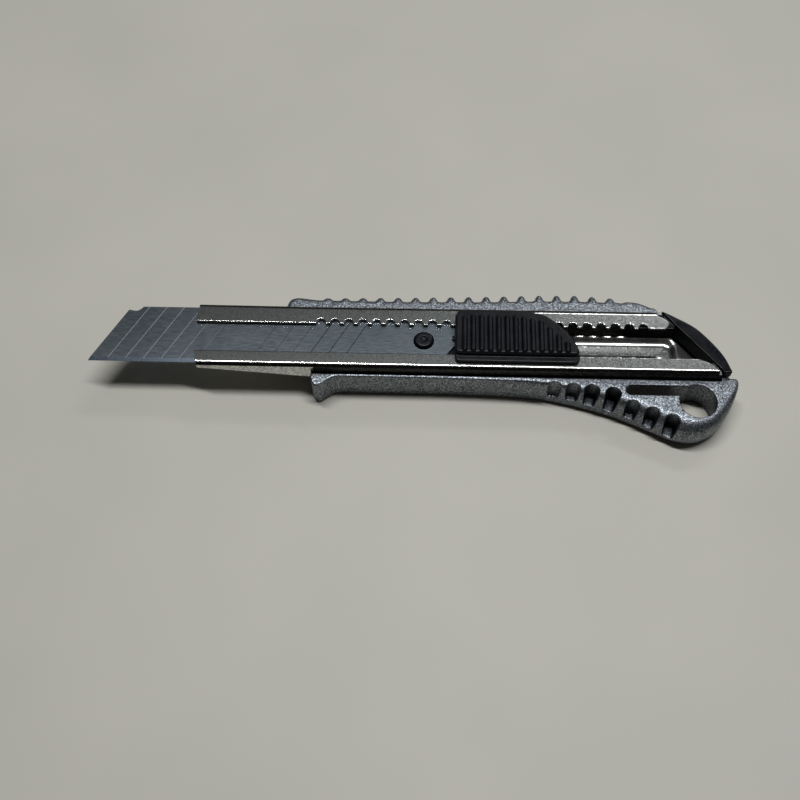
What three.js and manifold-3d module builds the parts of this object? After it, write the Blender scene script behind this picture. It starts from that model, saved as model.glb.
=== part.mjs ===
// Heavy-duty utility knife with an 18 mm snap-off blade, lying on its back.
// Millimetres. +X runs from the blade tip to the end cap, +Y to the spine, +Z up.
// Drawn with X = 0 at the tip of the extended blade and Y = 0 at its cutting edge.
// At the end everything is moved so that the origin is the bottom centre.
import * as THREE from "three";
import Module from "manifold-3d";

const wasm = await Module();
wasm.setup();

const GAP = 0.3;

// bottom centre of the whole knife in drawing coordinates
const CENTRE_X = 89.7303;
const CENTRE_Y = 4.1415;

// snap-off blade
const BLADE_LENGTH = 102;
const BLADE_WIDTH = 18;
const BLADE_THICK = 0.5;
const BLADE_LOW = -0.3;
const BLADE_Z = 11.55;
const BLADE_SLANT = 9.8;
const SCORE_PITCH = 5;
const SCORE_COUNT = 14;
const BEVEL = 1.2;
const PIN_X = 93.3;
const PIN_Y = 7.9;

// folded steel channel that guides the blade
const SHEET = 0.8;
const RAIL_LOW = -1.6;
const RAIL_HIGH = 18.6;
const RAIL_TOP = 13.2;
const RAIL_DEPTH = 7;
const TIP_DEPTH = 2.8;
const RAIL_FRONT = 28.6;
const RAIL_REAR = 177;
const TAPER_TO = 63;
const LIP_LOW = 3;
const LIP_HIGH = 12.4;
const BEND = 1.35;
const FLOOR_TOP = RAIL_TOP - RAIL_DEPTH + SHEET;
const PAN_Y = 8.5;
const PAN_HALF = 3.7;
const PAN_SLOPE = 1.6;
const PAN_DEEP = 1;
const PAN_FROM = 70;
const PAN_TO = 162.8;

// notches of the lock rack in the upper lip
const RACK_FIRST = 64.3;
const RACK_PITCH = 3.909;
const RACK_COUNT = 24;
const RACK_RADIUS = 1.2;
const RACK_MOUTH = 1.45;
const RACK_ROOT = 13.9;
const LUG_NOTCH = 12;

// cast handle
const RIM = 10;
const BED = RAIL_TOP - RAIL_DEPTH - GAP;
const RIDGE_FIRST = 65.3;
const RIDGE_PITCH = 5.056;
const RIDGE_COUNT = 17;
const POCKET_FLOOR = 3.4;
const POCKET_RADIUS = 2.1;
const POCKET_DRAFT = [
  [3.4, 1],
  [3.8, 0.6],
  [9.6, 0],
  [11, -0.15],
];
const POCKETS = [
  [129.3, -5.3],
  [134.4, -5.6],
  [139.5, -5.9],
  [145.2, -6.6],
  [150.1, -10.5],
  [155.2, -12.5],
  [160.4, -14.6],
];
const TAB_X = 174.7;
const TAB_Y = 1.9;
const HOLE_X = 167.8;
const HOLE_Y = -8.3;
const HOLE_RADIUS = 5;

// two rivets that hold the channel to the handle
const RIVET_X = [78, 121];
const RIVET_SHANK = 1.6;
const RIVET_HEAD = 2.6;

// slider parts
const KNOB_BASE = RAIL_TOP + GAP;
const KNOB_TOP = 16;
const RIB_TOP = 16.8;
const RIB_PITCH = 2.33;
const RIB_COUNT = 13;
const RIB_FIRST = 104.6;
const KNOB_NEAR = 2;
const KNOB_REAR = [
  [136, 2.2],
  [135.4, 4.4],
  [133.9, 7.6],
  [130.9, 11.2],
  [127.8, 14],
  [125.6, 15],
  [122, 15.8],
  [117, 16.2],
];
const PLAY = 1.5;
const LUG_X = RACK_FIRST + LUG_NOTCH * RACK_PITCH;
const LEAF_ROOT_X = 126.5;
const LEAF_Y = 11.3;

function solid(geometry) {
  // welds a geometry into a closed body for the boolean operations
  const position = geometry.attributes.position;
  const keys = new Map();
  const vertices = [];
  const remap = [];
  for (let i = 0; i < position.count; i += 1) {
    const p = [position.getX(i), position.getY(i), position.getZ(i)];
    const key = p.map((c) => Math.round(c * 1e4)).join(" ");
    if (!keys.has(key)) {
      keys.set(key, vertices.length / 3);
      vertices.push(...p);
    }
    remap.push(keys.get(key));
  }
  const order = geometry.index ? Array.from(geometry.index.array) : remap.map((_, i) => i);
  const faces = [];
  for (let i = 0; i < order.length; i += 3) {
    const [a, b, c] = [remap[order[i]], remap[order[i + 1]], remap[order[i + 2]]];
    if (a !== b && b !== c && a !== c) {
      faces.push(a, b, c);
    }
  }
  return new wasm.Manifold(new wasm.Mesh({
    numProp: 3,
    vertProperties: new Float32Array(vertices),
    triVerts: new Uint32Array(faces),
  }));
}

function fuse(...bodies) {
  return bodies.reduce((whole, body) => whole.add(body));
}

function cut(body, ...tools) {
  return tools.reduce((left, tool) => left.subtract(tool), body);
}

function signedArea(points) {
  return THREE.ShapeUtils.area(points.map(([x, y]) => new THREE.Vector2(x, y)));
}

function loft(rings, flat) {
  // closed skin over rings of equal length, flat gives the two axes the rings lie in
  const n = rings[0].length;
  const vertices = rings.flat();
  const faces = [];
  for (let k = 0; k + 1 < rings.length; k += 1) {
    for (let i = 0; i < n; i += 1) {
      const a = k * n + i;
      const b = k * n + (i + 1) % n;
      faces.push([a, b, b + n], [a, b + n, a + n]);
    }
  }
  const last = (rings.length - 1) * n;
  const outline = rings[0].map((p) => new THREE.Vector2(p[flat[0]], p[flat[1]]));
  for (const [a, b, c] of THREE.ShapeUtils.triangulateShape(outline, [])) {
    faces.push([c, b, a]);
  }
  const end = rings[rings.length - 1].map((p) => new THREE.Vector2(p[flat[0]], p[flat[1]]));
  for (const [a, b, c] of THREE.ShapeUtils.triangulateShape(end, [])) {
    faces.push([last + a, last + b, last + c]);
  }
  const geometry = new THREE.BufferGeometry();
  const position = new THREE.Float32BufferAttribute(vertices.flat(), 3);
  geometry.setAttribute("position", position);
  geometry.setIndex(faces.flat());
  return solid(geometry);
}

function prism(points, z0, z1) {
  const path = signedArea(points) > 0 ? points : [...points].reverse();
  const rings = [z0, z1].map((z) => path.map(([x, y]) => [x, y, z]));
  return loft(rings, [0, 1]);
}

function block(x0, x1, y0, y1, z0, z1) {
  return prism([[x0, y0], [x1, y0], [x1, y1], [x0, y1]], z0, z1);
}

function circle(x, y, r, n = 20) {
  const points = [];
  for (let i = 0; i < n; i += 1) {
    const a = (2 * Math.PI * i) / n;
    points.push([x + r * Math.cos(a), y + r * Math.sin(a)]);
  }
  return points;
}

function disc(x, y, r, z0, z1, n = 20) {
  return prism(circle(x, y, r, n), z0, z1);
}

function capsule(x0, x1, y, r) {
  // slot outline along X with round ends
  const points = [];
  for (let i = 0; i <= 10; i += 1) {
    const a = -Math.PI / 2 + (Math.PI * i) / 10;
    points.push([x1 - r + r * Math.cos(a), y + r * Math.sin(a)]);
  }
  for (let i = 0; i <= 10; i += 1) {
    const a = Math.PI / 2 + (Math.PI * i) / 10;
    points.push([x0 + r + r * Math.cos(a), y + r * Math.sin(a)]);
  }
  return points;
}

function smooth(points, n) {
  // curve through hand-placed points
  const curve = new THREE.SplineCurve(points.map(([x, y]) => new THREE.Vector2(x, y)));
  return curve.getPoints(n).map((p) => [p.x, p.y]);
}

function between(table, x) {
  // straight-line interpolation in a short list of [x, value] pairs
  if (x <= table[0][0]) {
    return table[0][1];
  }
  for (let i = 1; i < table.length; i += 1) {
    if (x <= table[i][0]) {
      const t = (x - table[i - 1][0]) / (table[i][0] - table[i - 1][0]);
      return table[i - 1][1] + t * (table[i][1] - table[i - 1][1]);
    }
  }
  return table[table.length - 1][1];
}

function insetNormals(path) {
  // inward unit normals of a counter-clockwise outline
  const n = path.length;
  return path.map((_, i) => {
    const a = path[(i + n - 1) % n];
    const b = path[(i + 1) % n];
    const length = Math.hypot(b[0] - a[0], b[1] - a[1]);
    return [-(b[1] - a[1]) / length, (b[0] - a[0]) / length];
  });
}

function softSlab(path, normals, low, high, z0, z1, steps) {
  // slab with a rounded lower edge of radius low(i) and upper edge of radius high(i)
  const rings = [];
  for (let k = 0; k <= steps; k += 1) {
    const a = (Math.PI / 2) * (1 - k / steps);
    rings.push(path.map(([x, y], i) => {
      const inset = low(i) * (1 - Math.cos(a));
      const z = z0 + low(i) * (1 - Math.sin(a));
      return [x + normals[i][0] * inset, y + normals[i][1] * inset, z];
    }));
  }
  for (let k = 0; k <= steps; k += 1) {
    const a = (Math.PI / 2) * (k / steps);
    rings.push(path.map(([x, y], i) => {
      const inset = high(i) * (1 - Math.cos(a));
      const z = z1 - high(i) * (1 - Math.sin(a));
      return [x + normals[i][0] * inset, y + normals[i][1] * inset, z];
    }));
  }
  return loft(rings, [0, 1]);
}

// outer curve shared by the end cap and the handle floor under it
const CAP_CURVE = [
  [176.8, 0],
  [175.3, 4.1],
  [172.5, 8.5],
  [168.4, 13.2],
  [163.1, 16.7],
  [159.6, 18.6],
];

function spineRidges() {
  // round-topped ribs with wide valleys, which get taller towards the rear
  const tops = [[66, 23.6], [91, 24.3], [111, 25], [126, 25.7], [137, 25.9], [148, 25]];
  const depths = [[66, 0.8], [88, 1.5], [111, 1.9], [137, 2.1], [148, 1.4]];
  const fall = [[0, 0], [0.12, 0.13], [0.2, 0.45], [0.24, 0.7], [0.34, 1]];
  const shape = [...fall.slice(1).reverse().map(([along, down]) => [-along, down]), ...fall];
  const points = [];
  for (let k = 0; k < RIDGE_COUNT; k += 1) {
    for (const [along, down] of shape) {
      const x = RIDGE_FIRST + (k + along) * RIDGE_PITCH;
      points.push([x, between(tops, x) - down * between(depths, x)]);
    }
  }
  return points;
}

function handleOutline() {
  const guard = smooth([
    [62.1, -1.2],
    [62.1, -3.4],
    [62.9, -5.2],
    [64.3, -5.8],
    [66.2, -4.5],
    [68.2, -3.2],
    [70.5, -2.8],
  ], 14);
  const grip = smooth([
    [98, -2.8],
    [112.5, -3.1],
    [125.4, -3.9],
    [136.8, -6.3],
    [148, -10],
    [157.5, -14.9],
    [161.5, -16.9],
    [165, -17.6],
    [168.7, -17],
    [172.6, -14.8],
    [175.8, -11],
    [177.9, -7],
    [179.1, -4],
    [179.45, -2.2],
  ], 44);
  const tab = [[179.2, -1.2], [178.6, -0.7], [177.4, -0.6]];
  const rear = smooth([[176.6, 2.1], ...CAP_CURVE.slice(1, 5), [160.4, 19.1], [158.6, 21.4]], 18);
  const bump = smooth([[158.6, 21.4], [154.8, 23.3], [151.4, 23.9], [149.2, 23.4]], 8).slice(1);
  const ridges = spineRidges().reverse();
  const nose = smooth([[61, 23], [58, 23.4], [56, 23.4], [54.3, 22.5], [53.5, 20.5]], 10);
  const front = smooth([[53.5, 17], [55, 10], [60, 3.5]], 8);
  return [...guard, ...grip, ...tab, ...rear, ...bump, ...ridges, ...nose, ...front];
}

function handleNormals(path) {
  // on the spine all edges are rounded straight inwards, past the ridges
  const normals = insetNormals(path);
  return path.map(([x, y], i) => (y > 21.2 && x > 57 && x < 150 ? [0, -1] : normals[i]));
}

function topRadius([x, y]) {
  // the rim is crisp along the channel and swells round at the bulb
  if (y > 0) {
    return y > 18 && x < 158 ? 0.9 : 0.4;
  }
  return between([
    [112, 0.4],
    [137, 2],
    [148, 3],
    [163, 4.8],
    [169, 3.8],
    [177, 2.4],
    [179.4, 0.8],
  ], x);
}

function bottomRadius([x, y]) {
  if (y > 0) {
    return y > 18 ? 0.9 : 0.5;
  }
  return between([[112, 0.5], [150, 1.4], [163, 3.6], [172, 3.2], [179.4, 0.8]], x);
}

function lanyardSlot() {
  // long slot that runs into a round hole, the tongue between them points backwards
  const slot = prism(capsule(148.6, 168, -5.3, 1.55), -1, RIM + 1);
  const hole = disc(HOLE_X, HOLE_Y, HOLE_RADIUS, -1, RIM + 1, 28);
  const corner = prism(smooth([
    [166.5, -3.75],
    [169.4, -4],
    [171.6, -5.6],
    [167.8, -6],
  ], 8), -1, RIM + 1);
  return fuse(slot, hole, corner);
}

function channelRoom() {
  // room for the steel channel and the end cap, open to the front and the rear
  const strip = block(50, TAB_X, RAIL_LOW - GAP, 16, BED, 20);
  const upper = block(50, 158.2, 15, RAIL_HIGH + GAP, BED, 20);
  const corner = block(158, 170, 15, 19.2, BED, 20);
  const curve = CAP_CURVE.slice(1).map(([x, y]) => [x + 0.35, y + 0.35]);
  const nest = prism([[150, TAB_Y], [176.8, TAB_Y], ...curve, [150, 18.9]], BED, 20);
  const beyond = prism([[174.5, TAB_Y], [190, TAB_Y], [190, 14], [165, 18]], BED, 20);
  return fuse(strip, upper, corner, nest, beyond);
}

function pocketRing(x, y, r, z) {
  // round at the inner side, and open towards the outside of the grip
  const slope = between([[125, 0.1], [137, 0.25], [150, 0.42], [163, 0.3]], x);
  const points = arc(x, y, r, 0, 180, 8);
  points.push([x - r - 8 * slope, y - 8], [x + r - 8 * slope, y - 8]);
  return points.map(([px, py]) => [px, py, z]);
}

function makeHandle() {
  const path = handleOutline();
  const normals = handleNormals(path);
  const low = (i) => bottomRadius(path[i]);
  const high = (i) => topRadius(path[i]);
  const blank = softSlab(path, normals, low, high, 0, RIM, 4);
  const recess = PAN_HALF + 1.5;
  const pan = prism(capsule(PAN_FROM - 1.5, PAN_TO + 1.5, PAN_Y, recess), BED - PAN_DEEP, 7);
  const pockets = POCKETS.map(([x, y]) => loft(POCKET_DRAFT.map(([z, narrower]) => (
    pocketRing(x, y + 0.8 * narrower, POCKET_RADIUS - narrower, z)
  )), [0, 1]));
  const bores = RIVET_X.map((x) => disc(x, PAN_Y, RIVET_SHANK + GAP, -1, RIM, 16));
  const seats = RIVET_X.map((x) => disc(x, PAN_Y, RIVET_HEAD + GAP, -1, 1.7, 20));
  return cut(blank, channelRoom(), lanyardSlot(), pan, ...pockets, ...bores, ...seats);
}

function arc(y, z, r, from, to, n) {
  const points = [];
  for (let i = 0; i <= n; i += 1) {
    const a = ((from + ((to - from) * i) / n) * Math.PI) / 180;
    points.push([y + r * Math.cos(a), z + r * Math.sin(a)]);
  }
  return points;
}

function channelSection(depth) {
  // one cross-section of the folded sheet, as [y, z], counter-clockwise seen from +X
  const outer = BEND;
  const inner = BEND - SHEET;
  const low = RAIL_TOP - depth;
  return [
    [LIP_HIGH, RAIL_TOP],
    [LIP_HIGH, RAIL_TOP - SHEET],
    ...arc(RAIL_HIGH - outer, RAIL_TOP - outer, inner, 90, 0, 2),
    ...arc(RAIL_HIGH - outer, low + outer, inner, 0, -90, 2),
    ...arc(RAIL_LOW + outer, low + outer, inner, 270, 180, 2),
    ...arc(RAIL_LOW + outer, RAIL_TOP - outer, inner, 180, 90, 2),
    [LIP_LOW, RAIL_TOP - SHEET],
    [LIP_LOW, RAIL_TOP],
    ...arc(RAIL_LOW + outer, RAIL_TOP - outer, outer, 90, 180, 3),
    ...arc(RAIL_LOW + outer, low + outer, outer, 180, 270, 3),
    ...arc(RAIL_HIGH - outer, low + outer, outer, -90, 0, 3),
    ...arc(RAIL_HIGH - outer, RAIL_TOP - outer, outer, 0, 90, 3),
  ];
}

function rack() {
  // the row of round notches along the edge of the upper lip
  const teeth = [];
  for (let k = 0; k < RACK_COUNT; k += 1) {
    const x = RACK_FIRST + k * RACK_PITCH;
    const root = arc(x, RACK_ROOT - RACK_RADIUS, RACK_RADIUS, 0, 180, 5);
    teeth.push(prism([
      [x - RACK_MOUTH, LIP_HIGH],
      [x - RACK_MOUTH, LIP_HIGH - 1],
      [x + RACK_MOUTH, LIP_HIGH - 1],
      [x + RACK_MOUTH, LIP_HIGH],
      ...root,
    ], RAIL_TOP - 2, RAIL_TOP + 1));
  }
  return teeth;
}

function panRing(reach, z) {
  // rounded rectangle of the pressed dish, grown by reach
  const r = 2 + reach;
  const [x0, x1] = [PAN_FROM - reach + r, PAN_TO + reach - r];
  const side = PAN_HALF + reach - r;
  const points = [
    ...arc(x1, PAN_Y - side, r, -90, 0, 4),
    ...arc(x1, PAN_Y + side, r, 0, 90, 4),
    ...arc(x0, PAN_Y + side, r, 90, 180, 4),
    ...arc(x0, PAN_Y - side, r, 180, 270, 4),
  ];
  return points.map(([x, y]) => [x, y, z]);
}

function pressedPan(top, grow) {
  // long dish pressed into the floor, with sloping walls
  const slopes = [[-1, 1], [-0.5, 0.94], [0, 0.65], [0.5, 0.23], [1, 0]];
  const rings = slopes.map(([out, down]) => (
    panRing(grow + PAN_SLOPE * out, top - PAN_DEEP * down + (down ? 0 : 0.02))
  ));
  return loft(rings, [0, 1]);
}

function makeRail() {
  const stations = [
    [RAIL_FRONT, TIP_DEPTH],
    [TAPER_TO - 3, RAIL_DEPTH - 0.3],
    [TAPER_TO, RAIL_DEPTH],
    [RAIL_REAR, RAIL_DEPTH],
  ];
  const rings = stations.map(([x, depth]) => channelSection(depth).map(([y, z]) => [x, y, z]));
  const bent = loft(rings, [1, 2]);
  const dish = pressedPan(FLOOR_TOP - SHEET + 0.05, 0.25);
  const pan = pressedPan(FLOOR_TOP, 0);
  const mouth = prism([
    [20, 25],
    [20, -5],
    [30.7, -5],
    [30.7, -1.4],
    [29.5, 3.2],
    [29.3, 8],
    [28.9, 12.4],
    [29.4, 17.4],
    [29.4, 25],
  ], 5, 20);
  const rear = prism([
    [159.1, 30],
    [159.1, 18.7],
    [160.4, 17],
    [174.2, -0.6],
    [174.2, -8],
    [190, -8],
    [190, 30],
  ], 4, 20);
  const lips = RAIL_TOP - SHEET - 0.1;
  const highLip = prism([
    [157.2, 11],
    [157.2, 12.39],
    [160.4, 12.6],
    [161.3, 14.6],
    [159.4, 16.5],
    [158.3, 16.8],
    [158.3, 20],
    [180, 20],
    [180, 11],
  ], lips, 20);
  const lowLip = prism([
    [168, 3.4],
    [168, 3.01],
    [171.6, 2.2],
    [173.5, 0.4],
    [173.8, -1.3],
    [180, -1.3],
    [180, 3.4],
  ], lips, 20);
  const bores = RIVET_X.map((x) => disc(x, PAN_Y, RIVET_SHANK + GAP, 3, 8, 16));
  return cut(fuse(bent, dish), pan, mouth, rear, highLip, lowLip, ...rack(), ...bores);
}

function makeRivet(x) {
  const floor = FLOOR_TOP - PAN_DEEP + GAP;
  const head = disc(x, PAN_Y, RIVET_HEAD, floor, floor + 0.5);
  const shank = disc(x, PAN_Y, RIVET_SHANK, 0.8, floor + 0.2, 16);
  const foot = disc(x, PAN_Y, RIVET_HEAD, 0.2, 1.4);
  return fuse(head, shank, foot);
}

function bladeX(y) {
  // slant shared by the front edge and every score line
  return ((y - BLADE_LOW) * BLADE_SLANT) / BLADE_WIDTH;
}

function makeBlade() {
  const high = BLADE_LOW + BLADE_WIDTH;
  const z1 = BLADE_Z + BLADE_THICK;
  const body = prism([
    [0, BLADE_LOW],
    [BLADE_LENGTH - 5.4, BLADE_LOW],
    [BLADE_LENGTH, BLADE_LOW + 7],
    [BLADE_LENGTH, high],
    [13, high],
    [12.4, 16.9],
    [11.4, 16.2],
    [10.2, 16.3],
    [9, 16.6],
  ], BLADE_Z, z1);
  const edge = (z, side) => prism([
    [BLADE_LOW - 1, z - side * 1],
    [BLADE_LOW + 0.02, BLADE_Z + BLADE_THICK / 2],
    [BLADE_LOW + BEVEL, z],
    [BLADE_LOW + BEVEL, z + side * 1],
    [BLADE_LOW - 1, z + side * 1],
  ], -5, 120);
  const lay = (tool) => tool.transform([0, 1, 0, 0, 0, 0, 1, 0, 1, 0, 0, 0, 0, 0, 0, 1]);
  const scores = [];
  for (let k = 1; k <= SCORE_COUNT; k += 1) {
    const x = k * SCORE_PITCH;
    const w = 0.12;
    scores.push(prism([
      [x + bladeX(BLADE_LOW - 1) - w, BLADE_LOW - 1],
      [x + bladeX(BLADE_LOW - 1) + w, BLADE_LOW - 1],
      [x + bladeX(high + 1) + w, high + 1],
      [x + bladeX(high + 1) - w, high + 1],
    ], z1 - 0.12, z1 + 1));
  }
  const hole = disc(PIN_X, PIN_Y, 2.9, BLADE_Z - 1, z1 + 1, 24);
  return cut(body, lay(edge(z1, 1)), lay(edge(BLADE_Z, -1)), hole, ...scores);
}

function knobOutline(near) {
  // near is where the side towards the cutting edge lies
  const rear = KNOB_REAR.filter(([, y]) => y > near + 1);
  return [
    ...smooth([[101.9, near + 1.6], [102.3, near + 0.4], [103.4, near]], 5),
    ...smooth([[134.9, near], [135.7, near + 0.8], ...rear], 22),
    ...smooth([[105, 16.2], [102.8, 15.6], [101.9, 13.8]], 6),
  ];
}

function knobRib(x) {
  // cross rib that stops short of the knob's slanting rear edge
  const far = between([[104, 13.4], [107, 14.1], [120, 13.9], [125.8, 12.6], [133, 5.4]], x);
  const rise = prism([
    [x - 0.75, KNOB_TOP - 0.5],
    [x + 0.75, KNOB_TOP - 0.5],
    [x + 0.6, KNOB_TOP + 0.3],
    [x + 0.3, RIB_TOP],
    [x - 0.3, RIB_TOP],
    [x - 0.6, KNOB_TOP + 0.3],
  ], -far, -KNOB_NEAR - 0.35);
  return rise.rotate([90, 0, 0]);
}

function makeKnob() {
  // hollow thumb slider: ledge on the near side, ribs on top, wedge for the lock, two legs
  const crownPath = knobOutline(KNOB_NEAR);
  const ledge = prism(knobOutline(0.2), KNOB_BASE, KNOB_BASE + 1);
  const crown = softSlab(
    crownPath, insetNormals(crownPath), () => 0.1, () => 0.7, KNOB_BASE, KNOB_TOP, 3,
  );
  const ribs = [];
  for (let k = 0; k < RIB_COUNT; k += 1) {
    ribs.push(knobRib(RIB_FIRST + k * RIB_PITCH));
  }
  const room = block(104, 131, 3.1, 13.2, KNOB_BASE - 1, 15.2);
  const slope = prism([[126.3, 13.3], [131.1, 8.7], [133, 13.3]], KNOB_BASE - 2, 16);
  const legs = [105, 131.6].map((x) => fuse(
    block(x, x + 1.6, 5, 8, 9, 15.4),
    block(x, x + 1.6, 4.4, 8.6, 9, 9.8),
  ));
  const wedge = prism([
    [LUG_X - 3, LEAF_Y + 1.6],
    [LUG_X - 1.5, LEAF_Y - 0.6],
    [LUG_X - 1, LEAF_Y - 0.6],
    [LUG_X + 1.05, LEAF_Y + 1.6],
  ], KNOB_BASE + 0.1, 15.4);
  const shell = cut(fuse(ledge, crown, ...ribs), cut(room, slope));
  return fuse(shell, wedge, ...legs);
}

function makeCarrier() {
  const low = RAIL_LOW + SHEET + 0.4;
  const high = RAIL_HIGH - SHEET - 0.4;
  const base = FLOOR_TOP + 0.5;
  const tongue = block(86, 104.5, 2, 15, 9.6, BLADE_Z - GAP);
  const step = block(BLADE_LENGTH + 0.4, 104.5, low + 0.4, high - 0.4, 9.6, 12.05);
  const nib = fuse(
    block(101.2, 104.5, 7.9, 9.1, 12.35, 13.1),
    block(BLADE_LENGTH + 0.4, 104.5, 7.9, 9.1, 11.8, 13.1),
  );
  const wide = block(103.8, 118, low, high, base, 12.05);
  const narrow = block(117, 133.4, 3.6, 12, base, 12.05);
  const pin = disc(PIN_X, PIN_Y, 2.55, 10, 12.5, 24);
  const crown = loft([
    circle(PIN_X, PIN_Y, 2.55, 24).map(([x, y]) => [x, y, 12.3]),
    circle(PIN_X, PIN_Y, 2.1, 24).map(([x, y]) => [x, y, 12.8]),
    circle(PIN_X, PIN_Y, 0.9, 24).map(([x, y]) => [x, y, 13]),
  ], [0, 1]);
  const stem = block(108.4, 130.4, 3.6, 8.6, 11.8, 14.8);
  const stop = block(127.75, 128.6, 8, 10.2, 11.8, 14.8);
  const slots = [105, 131.6].map((x) => fuse(
    block(x - 0.35, x + 1.6 + PLAY + 0.35, 4.6, 8.4, base - 1, 15),
    block(x - 0.35, x + 1.6 + PLAY + 0.35, 4, 9, base - 1, 10.2),
  ));
  const frontSlot = block(107.4, 108.5, 4.6, 8.4, base - 1, 15);
  const whole = fuse(tongue, step, nib, wide, narrow, pin, crown, stem, stop);
  return cut(whole, ...slots, frontSlot);
}

function makeLock() {
  // steel leaf: rolled end, long leaf, lug that drops into a rack notch, tab for the knob
  const z0 = 12.4;
  const z1 = 14.6;
  const roll = disc(LEAF_ROOT_X, LEAF_Y - 0.6, 0.9, z0, z1, 14);
  const leaf = prism(smooth([
    [LEAF_ROOT_X, LEAF_Y - 0.1],
    [121, LEAF_Y + 0.15],
    [116, LEAF_Y + 0.05],
    [LUG_X + 0.6, LEAF_Y],
    [LUG_X + 0.6, LEAF_Y - 0.6],
    [116, LEAF_Y - 0.55],
    [121, LEAF_Y - 0.45],
    [LEAF_ROOT_X, LEAF_Y - 0.7],
  ], 21), z0, z1);
  const lug = prism([
    [LUG_X - 0.6, LEAF_Y - 0.6],
    [LUG_X + 0.65, LEAF_Y - 0.6],
    [LUG_X + 0.6, 13],
    [LUG_X + 0.3, 13.5],
    [LUG_X - 0.3, 13.5],
    [LUG_X - 0.6, 13],
  ], z0, RAIL_TOP);
  const tab = prism([
    [LUG_X - 0.55, LEAF_Y - 0.6],
    [LUG_X + 1.6, LEAF_Y - 0.6],
    [LUG_X + 1.6, LEAF_Y + 1.2],
    [LUG_X + 1.15, LEAF_Y + 1.2],
  ], KNOB_BASE, z1);
  return fuse(roll, leaf, lug, tab);
}

function makeCap() {
  // crescent with a snap slot in its curved rear, and two prongs inside the channel
  const outer = smooth([[177, -0.9], ...CAP_CURVE], 20);
  const inner = [[160.85, 17], [174.65, -0.3], [174.65, -0.9]];
  const whole = prism([...outer, ...inner], BED + GAP, RAIL_TOP - GAP);
  const step = block(170, 180, -3, TAB_Y + GAP, BED, RIM + GAP);
  const underLip = RAIL_TOP - SHEET - 0.35;
  const [low, high] = [RAIL_LOW + SHEET + 0.35, RAIL_HIGH - SHEET - 0.35];
  const prongs = fuse(
    block(150.6, 175.6, low, 2.4, RIM + GAP, underLip),
    block(150.6, 163, 13.2, high, FLOOR_TOP + 0.35, underLip),
  );
  const slit = prism([[184, -0.5], [172, 2], [160, 16.5], [172, 22]], 9.2, 10.1);
  const core = prism([
    [174.2, -1.6],
    [172.6, 3.5],
    [169, 8.8],
    [164, 13.8],
    [160, 16],
    [150, 30],
    [150, -10],
    [174, -10],
  ], 9, 10.3);
  return cut(fuse(cut(whole, step), prongs), cut(slit, core));
}

const METAL = { color: 0xa9adb0, roughness: 0.5, metalness: 0.85 };
const STEEL = { color: 0xc2c4c3, roughness: 0.25, metalness: 1 };
const BLADE = { color: 0x9aa3ab, roughness: 0.3, metalness: 1 };
const BLACK = { color: 0x1c1e22, roughness: 0.5, metalness: 0 };

function mesh(name, body, look) {
  const made = body.getMesh();
  const geometry = new THREE.BufferGeometry();
  const flat = [];
  for (const i of made.triVerts) {
    flat.push(...made.vertProperties.slice(i * made.numProp, i * made.numProp + 3));
  }
  geometry.setAttribute("position", new THREE.Float32BufferAttribute(flat, 3));
  geometry.translate(-CENTRE_X, -CENTRE_Y, 0);
  geometry.computeVertexNormals();
  const part = new THREE.Mesh(geometry, new THREE.MeshStandardMaterial(look));
  part.name = name;
  return part;
}

const knife = new THREE.Group();
knife.name = "utility_knife";
knife.add(mesh("handle", makeHandle(), METAL));
knife.add(mesh("blade_rail", makeRail(), STEEL));
knife.add(mesh("rail_rivet_front", makeRivet(RIVET_X[0]), STEEL));
knife.add(mesh("rail_rivet_rear", makeRivet(RIVET_X[1]), STEEL));
knife.add(mesh("blade", makeBlade(), BLADE));
knife.add(mesh("blade_carrier", makeCarrier(), BLACK));
knife.add(mesh("thumb_knob", makeKnob(), BLACK));
knife.add(mesh("lock_spring", makeLock(), STEEL));
knife.add(mesh("end_cap", makeCap(), BLACK));

export default knife;
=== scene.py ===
"""Looks of the snap-off utility knife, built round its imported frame."""

import math

import bmesh
import bpy
from mathutils import Matrix, Vector


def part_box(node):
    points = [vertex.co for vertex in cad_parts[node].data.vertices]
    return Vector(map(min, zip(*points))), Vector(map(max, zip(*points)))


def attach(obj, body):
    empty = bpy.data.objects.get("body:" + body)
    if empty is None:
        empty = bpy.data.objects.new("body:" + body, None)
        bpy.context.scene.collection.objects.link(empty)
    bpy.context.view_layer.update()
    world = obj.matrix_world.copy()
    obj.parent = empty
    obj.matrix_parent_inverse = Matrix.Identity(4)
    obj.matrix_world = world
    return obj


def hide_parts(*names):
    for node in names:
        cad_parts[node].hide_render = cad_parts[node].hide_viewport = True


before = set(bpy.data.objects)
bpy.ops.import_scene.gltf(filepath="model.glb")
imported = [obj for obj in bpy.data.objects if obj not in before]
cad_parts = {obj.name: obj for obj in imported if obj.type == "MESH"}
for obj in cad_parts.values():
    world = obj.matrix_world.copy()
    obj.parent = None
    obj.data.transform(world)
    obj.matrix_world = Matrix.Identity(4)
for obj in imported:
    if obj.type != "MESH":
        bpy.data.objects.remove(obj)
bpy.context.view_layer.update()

MM = 0.001

# ---------------------------------------------------------------- driving sizes, in mm
# Drawing frame: X = 0 at the tip of the blade, Y = 0 just inside its cutting edge, and
# Z = 0 on the table. X runs to the rear, Y away from the viewer and Z up.
BLADE_LOW = -0.3
BLADE_WIDTH = 18.0
BLADE_LENGTH = 102.0
BLADE_Z = 11.55
BLADE_THICK = 0.5
BLADE_SLANT = 9.8
SCORE_PITCH = 5.0
SCORE_COUNT = 14
SCORE_HALF, SCORE_DEPTH = 0.11, 0.09
BEVEL = 1.2
HEEL_X, HEEL_Y = 5.4, 7.0
PIN_X, PIN_Y = 93.3, 7.9
PIN_RADIUS, PIN_HOLE = 2.55, 2.9

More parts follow.
